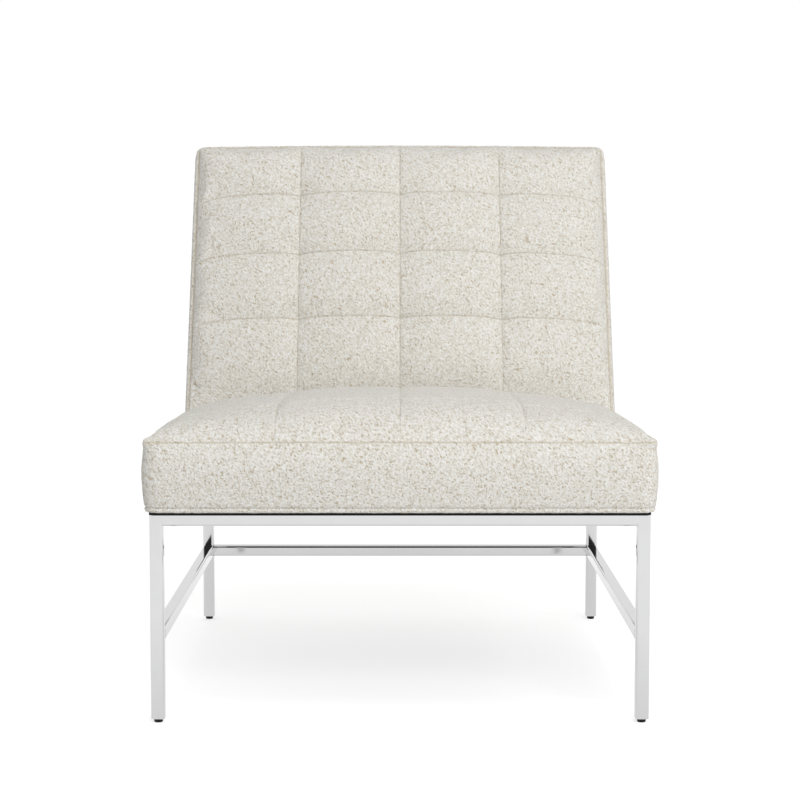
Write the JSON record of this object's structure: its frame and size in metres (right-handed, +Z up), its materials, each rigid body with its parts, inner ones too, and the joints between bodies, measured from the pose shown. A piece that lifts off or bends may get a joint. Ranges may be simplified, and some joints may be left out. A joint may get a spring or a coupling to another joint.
{
  "type": "slipper chair",
  "caption": "Armless slipper chair: crowned boucle seat and raked, grid-tufted back on an open, mirror-polished square-tube steel base with black glides.",
  "frame": {"origin": "middle of the chair's box in plan, on the floor", "axes": "+Z up; the chair faces -Y; +X is the sitter's left"},
  "size_m": [0.7144, 0.8232, 0.8263],
  "materials": {
    "polished_steel": "mirror polished",
    "zinc_plated_steel": "bright zinc plate",
    "black_plastic": "satin black",
    "hardwood": "bare planed hardwood",
    "elastic_webbing": "woven elastic strap",
    "foam": "open-cell foam",
    "boucle": "looped cream boucle",
    "black_lining": "black non-woven lining"
  },
  "bodies": {
    "root": {"front_left_leg": "polished_steel", "front_right_leg": "polished_steel", "rear_left_leg": "polished_steel", "rear_right_leg": "polished_steel", "front_top_rail": "polished_steel", "rear_top_rail": "polished_steel", "left_top_rail": "polished_steel", "right_top_rail": "polished_steel", "left_stretcher": "polished_steel", "right_stretcher": "polished_steel", "rear_stretcher": "polished_steel", "base_bolt_front_left": "zinc_plated_steel", "base_bolt_rear_left": "zinc_plated_steel", "base_bolt_front_right": "zinc_plated_steel", "base_bolt_rear_right": "zinc_plated_steel", "post_bolt_low_left": "zinc_plated_steel", "post_bolt_high_left": "zinc_plated_steel", "post_bolt_low_right": "zinc_plated_steel", "post_bolt_high_right": "zinc_plated_steel", "front_left_glide": "black_plastic", "front_right_glide": "black_plastic", "rear_left_glide": "black_plastic", "rear_right_glide": "black_plastic", "seat_left_wood_rail": "hardwood", "seat_right_wood_rail": "hardwood", "seat_front_wood_rail": "hardwood", "seat_rear_wood_rail": "hardwood", "seat_left_corner_block": "hardwood", "seat_right_corner_block": "hardwood", "back_left_post": "hardwood", "back_right_post": "hardwood", "back_bottom_wood_rail": "hardwood", "back_top_wood_rail": "hardwood", "seat_webbing_1": "elastic_webbing", "seat_webbing_2": "elastic_webbing", "seat_webbing_3": "elastic_webbing", "seat_webbing_4": "elastic_webbing", "seat_webbing_5": "elastic_webbing", "back_webbing_1": "elastic_webbing", "back_webbing_2": "elastic_webbing", "back_webbing_3": "elastic_webbing", "back_webbing_4": "elastic_webbing", "seat_foam": "foam", "back_foam": "foam", "seat_cover": "boucle", "seat_welt": "boucle", "back_cover": "boucle", "back_rear_panel": "boucle", "dust_cover": "black_lining"}
  },
  "joints": []
}
